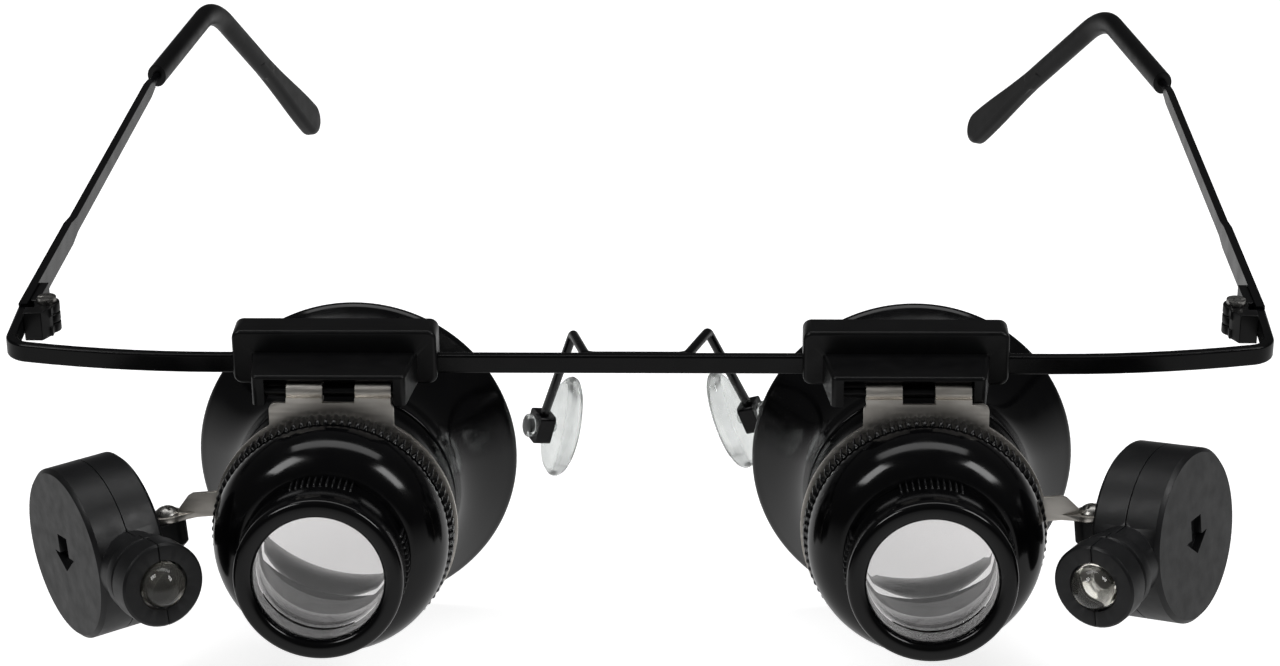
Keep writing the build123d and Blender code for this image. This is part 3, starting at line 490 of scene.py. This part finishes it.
def objective_barrel(side):
    """Front barrel with a rolled lip and groups of grip ribs."""
    r = BARREL_RADIUS
    front = BARREL_FRONT
    outline = [(OBJECTIVE_RADIUS, LENS_SEAT), (OBJECTIVE_RADIUS, front + 0.75)]
    outline += bezier((OBJECTIVE_RADIUS, front + 0.75), (OBJECTIVE_RADIUS + 0.05, front + 0.2),
                      (OBJECTIVE_RADIUS + 0.4, front), (OBJECTIVE_RADIUS + 0.8, front), 6)[1:]
    outline += bezier((r - 0.8, front), (r - 0.3, front + 0.02), (r, front + 0.25), (r, front + 0.9), 6)
    outline += rounded([(r, front + 0.9), (r, CAP_FRONT - RIB_LENGTH),
                        (RIB_ROOT_RADIUS, CAP_FRONT - RIB_LENGTH),
                        (RIB_ROOT_RADIUS, CAP_FRONT - 0.05), (7.85, CAP_FRONT - 0.05),
                        (7.85, -29.6), (7.3, -29.6), (7.3, LENS_SEAT + 2.3), (7.65, LENS_SEAT + 2.3),
                        (7.65, LENS_SEAT)], 0.1)[1:]
    piece = lathe(f"barrel_shell_{side}", outline, eyepiece_place(side))
    dress(piece, "cup_plastic", f"eyepiece_{side}", f"objective_barrel_{side}")
    grip_ribs(side)


def grip_ribs(side):
    """Short half-round ribs in four groups round the rear of the barrel."""
    groups, per_group, pitch = 4, 11, 4.2
    bm = bmesh.new()
    for group in range(groups):
        for i in range(per_group):
            angle = math.radians(group * 360 / groups + (i - (per_group - 1) / 2) * pitch)
            add_rib(bm, angle)
    ribs = finish_mesh(f"barrel_ribs_{side}", bm, eyepiece_place(side))
    dress(ribs, "cup_plastic", f"eyepiece_{side}")


def add_rib(bm, angle):
    """One rib: a half-round bar lying along Y, with sloping ends."""
    half_width, height = 0.17, 0.46
    ends = ((CAP_FRONT - 0.05, 1.0), (CAP_FRONT - RIB_LENGTH + 0.4, 1.0),
            (CAP_FRONT - RIB_LENGTH + 0.05, 0.3))
    arc = [math.pi * i / 6 for i in range(7)]
    rings = []
    for y, share in ends:
        ring = []
        for a in arc:
            radius = RIB_ROOT_RADIUS - 0.06 + height * share * math.sin(a)
            side_step = half_width * math.cos(a)
            x = radius * math.cos(angle) - side_step * math.sin(angle)
            z = radius * math.sin(angle) + side_step * math.cos(angle)
            ring.append(bm.verts.new((x, y, z)))
        rings.append(ring)
    for low, high in zip(rings, rings[1:]):
        for i in range(len(arc) - 1):
            bm.faces.new((low[i], low[i + 1], high[i + 1], high[i]))
    bm.faces.new(rings[-1])


def dished(radius, clear, face, outward, sag, steps=12):
    """Half outline of one lens face, from the rim to the axis; a negative sag is hollow."""
    points = [(radius, face)]
    for i in range(steps + 1):
        r = clear * (1 - i / steps)
        points.append((r, face + outward * sag * (1 - (r / clear) ** 2)))
    return points


def lenses(side):
    """Bulging front lens and hollow eye lens, as a Galilean telescope has."""
    front = dished(7.6, 6.9, LENS_SEAT + 0.02, -1, FRONT_LENS_SAG)
    front += dished(7.6, 6.9, LENS_SEAT + 2.25, 1, FRONT_LENS_SAG)[::-1]
    piece = lathe(f"front_glass_{side}", front, eyepiece_place(side), closed=True)
    dress(piece, "lens_glass", f"eyepiece_{side}", f"front_lens_{side}")
    back = dished(10.9, 8.3, -22.55, -1, -EYE_LENS_SAG)
    back += dished(10.9, 8.3, -18.8, 1, -EYE_LENS_SAG)[::-1]
    piece = lathe(f"eye_glass_{side}", back, eyepiece_place(side), closed=True)
    dress(piece, "lens_glass", f"eyepiece_{side}", f"eye_lens_{side}")


# ---- lamps --------------------------------------------------------------------------------------------


def lamp_led(side):
    """Clear LED with its flange, and inside it the lead frame, the reflector cup and the phosphor."""
    at_disc = Matrix.Translation(Vector((SIDES[side] * DISC_CENTRE[0], 0, DISC_CENTRE[1])) * MM)
    place = lamp_place(side) @ at_disc
    tip = LED_TIP
    nose = [(LED_RADIUS * math.cos(a), tip + LED_RADIUS * (1 - math.sin(a)))
            for a in (math.pi / 2 * i / 10 for i in range(11))]
    nose[-1] = (0, tip)
    outline = rounded([(0, LED_BASE), (2.9, LED_BASE), (2.9, LED_BASE - 1), (LED_RADIUS, LED_BASE - 1),
                       (LED_RADIUS, LED_BASE - 2)], 0.1) + nose
    dome = lathe(f"led_dome_{side}", outline, place, closed=False, segments=96)
    dress(dome, "led_epoxy", f"lamp_{side}", f"lamp_led_{side}")
    bowl = [(0, -13.6), (0.2, -13.6), (0.36, -13.9), (0.46, -13.9), (0.46, LED_FRAME_REAR),
            (0, LED_FRAME_REAR)]
    cup = lathe(f"led_cup_{side}", bowl, place, closed=False, segments=48)
    dress(cup, "cell_steel", f"lamp_{side}")
    drop = [(0, -13.8), (0.14, -13.78), (0.22, -13.72), (0.2, -13.62), (0, -13.62)]
    chip = lathe(f"led_phosphor_{side}", drop, place, closed=False, segments=48)
    chip.data.materials.append(MATERIAL_PHOSPHOR)
    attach(chip, f"lamp_{side}")
    for name, x in (("a", -1.27), ("b", 1.27)):
        post = box_mesh(f"led_post_{side}_{name}", (x - 0.2, x + 0.2), (LED_FRAME_REAR, LED_BASE - 0.02),
                        (-0.2, 0.2), place)
        dress(post, "cell_steel", f"lamp_{side}")


# ---- nose pads ----------------------------------------------------------------------------------------


def oval_turned(name, profile, place, half_length=1.0, half_width=1.0, taper=0.0, segments=72):
    """Turns a profile of (share, z) about Z into an oval piece, wider towards +X by the taper."""
    bm = bmesh.new()
    rings = []
    for share, z in profile:
        if share < 1e-6:
            rings.append([bm.verts.new((0, 0, z))])
            continue
        ring = []
        for i in range(segments):
            angle = 2 * math.pi * i / segments
            x = half_length * share * math.cos(angle)
            y = half_width * share * math.sin(angle) * (1 + taper * math.cos(angle))
            ring.append(bm.verts.new((x, y, z)))
        rings.append(ring)
    for low, high in zip(rings, rings[1:]):
        join_rings(bm, low, high)
    return finish_mesh(name, bm, place)


def pad_place(side):
    """The pad's frame: X down its length, Z towards the nose, origin in the middle of the box."""
    hand = SIDES[side]
    joint = JOINTS[f"nose_pad_rock_{side}"]
    lean = math.radians(PAD_LEAN[side])
    along = Vector((hand * math.sin(lean), 0, -math.cos(lean)))
    normal = along.cross(Vector(joint["axis"])).normalized() * hand
    axes = Matrix((along, normal.cross(along), normal)).transposed().to_4x4()
    return Matrix.Translation(joint["pos_m"]) @ axes


def nose_pad(side):
    """Clear pad: a crowned drop-shaped cushion, its stem and the button behind the box."""
    crown = [(0, 1.78), (0.3, 1.74), (0.6, 1.78), (0.8, 1.95), (0.92, 2.25), (0.99, 2.65), (1.0, 2.95),
             (0.97, 3.3), (0.9, 3.56), (0.78, 3.73), (0.6, 3.83), (0.35, 3.88), (0, 3.9)]
    pad = oval_turned(f"pad_cushion_{side}", crown, pad_place(side), PAD_LENGTH / 2, PAD_WIDTH / 2, taper=0.1)
    button = [(0, 1.95), (0.62, 1.95), (0.75, 1.7), (0.8, 1.4), (0.8, -1.3), (1.3, -1.3), (1.4, -1.38),
              (1.4, -1.7), (1.28, -1.84), (0.9, -1.9), (0, -1.9)]
    stem = oval_turned(f"pad_stem_{side}", button, pad_place(side), segments=40)
    dress(pad, "silicone", f"nose_pad_{side}", f"nose_pad_{side}")
    dress(stem, "silicone", f"nose_pad_{side}")


# ---- all pieces ---------------------------------------------------------------------------------------

SOFT_EDGE = {
    "brow_bar": 0.12, "nose_wire": 0.05, "hinge_leaf_front": 0.15, "temple_arm": 0.15, "temple_leaf": 0.15,
    "pad_box": 0.12, "slider_body": 0.16, "slider_cover": 0.14, "loupe_plate": 0.09, "lamp_outer_shell": 0.14,
    "lamp_inner_shell": 0.14, "retaining_ring": 0.08, "lens_spacer": 0.05, "temple_tip": 0.1, "nose_pad": 0.1,
}


def dress_cad():
    """Materials and softened edges for the CAD nodes that stay in view."""
    for entry in frame["record"]["subparts"]:
        node = frame["nodes"][entry["node"]]
        node.data.materials.clear()
        node.data.materials.append(MATERIALS[entry["material_slot"]])
        family = entry["node"].removesuffix("_left").removesuffix("_right")
        soften(node, SOFT_EDGE.get(family, 0.05))


dress_cad()
for side in SIDES:
    eyecup(side)
    knurled_cap(side)
    objective_barrel(side)
    lenses(side)
    lamp_led(side)
    nose_pad(side)


# ---- floor, light and camera --------------------------------------------------------------------------


def floor():
    low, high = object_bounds()
    bm = bmesh.new()
    bmesh.ops.create_grid(bm, x_segments=1, y_segments=1, size=3)
    mesh = bpy.data.meshes.new("floor")
    bm.to_mesh(mesh)
    bm.free()
    plane = add_object("floor", mesh, Matrix.Translation((0, 0, low.z - 0.0002)))
    material, tree, shader = new_material("floor_paper", (0.93, 0.93, 0.93), 0.9)
    tree.links.new(ramp(tree, noise(tree, 30), grey(0.92), grey(0.94)), shader.inputs["Base Color"])
    shader.inputs["Emission Color"].default_value = (1, 1, 1, 1)
    shader.inputs["Emission Strength"].default_value = 0.8
    mesh.materials.append(material)
    plane.visible_glossy = False
    plane.visible_diffuse = False
    plane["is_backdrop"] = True


def softbox(name, location, size, power, target=(0, 0, -0.01)):
    data = bpy.data.lights.new(name, "AREA")
    data.shape = "RECTANGLE"
    data.size, data.size_y = size
    data.energy = power
    lamp = add_object(name, data)
    lamp.location = location
    lamp.rotation_euler = (Vector(target) - Vector(location)).to_track_quat("-Z", "Y").to_euler()


def surroundings():
    """White studio table and backdrop: seen as white, but lighting the object only from low down."""
    world = bpy.data.worlds.new("studio")
    bpy.context.scene.world = world
    world.use_nodes = True
    tree = world.node_tree
    background = tree.nodes["Background"]
    direction = tree.nodes.new("ShaderNodeTexCoord")
    parts = tree.nodes.new("ShaderNodeSeparateXYZ")
    tree.links.new(direction.outputs["Generated"], parts.inputs["Vector"])
    level = tree.nodes.new("ShaderNodeMapRange")
    level.inputs["From Min"].default_value = TABLE_EDGE[0]
    level.inputs["From Max"].default_value = TABLE_EDGE[1]
    level.inputs["To Min"].default_value = TABLE_LIGHT
    level.inputs["To Max"].default_value = ROOM_LIGHT
    tree.links.new(parts.outputs["Z"], level.inputs["Value"])
    rays = tree.nodes.new("ShaderNodeLightPath")
    previous = level.outputs["Result"]
    for kind in ("Is Camera Ray", "Is Transmission Ray"):
        brighter = tree.nodes.new("ShaderNodeMath")
        brighter.operation = "MAXIMUM"
        tree.links.new(previous, brighter.inputs[0])
        tree.links.new(rays.outputs[kind], brighter.inputs[1])
        previous = brighter.outputs["Value"]
    tree.links.new(previous, background.inputs["Strength"])
    background.inputs["Color"].default_value = (1, 1, 1, 1)


def camera():
    data = bpy.data.cameras.new("camera")
    data.lens = FOCAL_LENGTH
    data.sensor_width = 36.0
    data.clip_start = 0.01
    data.clip_end = 20.0
    aim = turn(CAMERA_TURN, "Z") @ turn(90 - CAMERA_DOWN, "X") @ turn(CAMERA_ROLL, "Z")
    view = add_object("camera", data, Matrix.Translation(Vector(CAMERA_PLACE) * MM) @ aim)
    bpy.context.scene.camera = view


floor()
softbox("key_left", (-0.45, -0.25, 0.55), (0.2, 0.3), 1.2)
softbox("key_right", (0.5, -0.2, 0.5), (0.2, 0.3), 1.3)
softbox("top", (0, 0.2, 0.7), (0.9, 0.25), 1.5)
surroundings()
camera()
bpy.context.scene.view_settings.view_transform = "Standard"
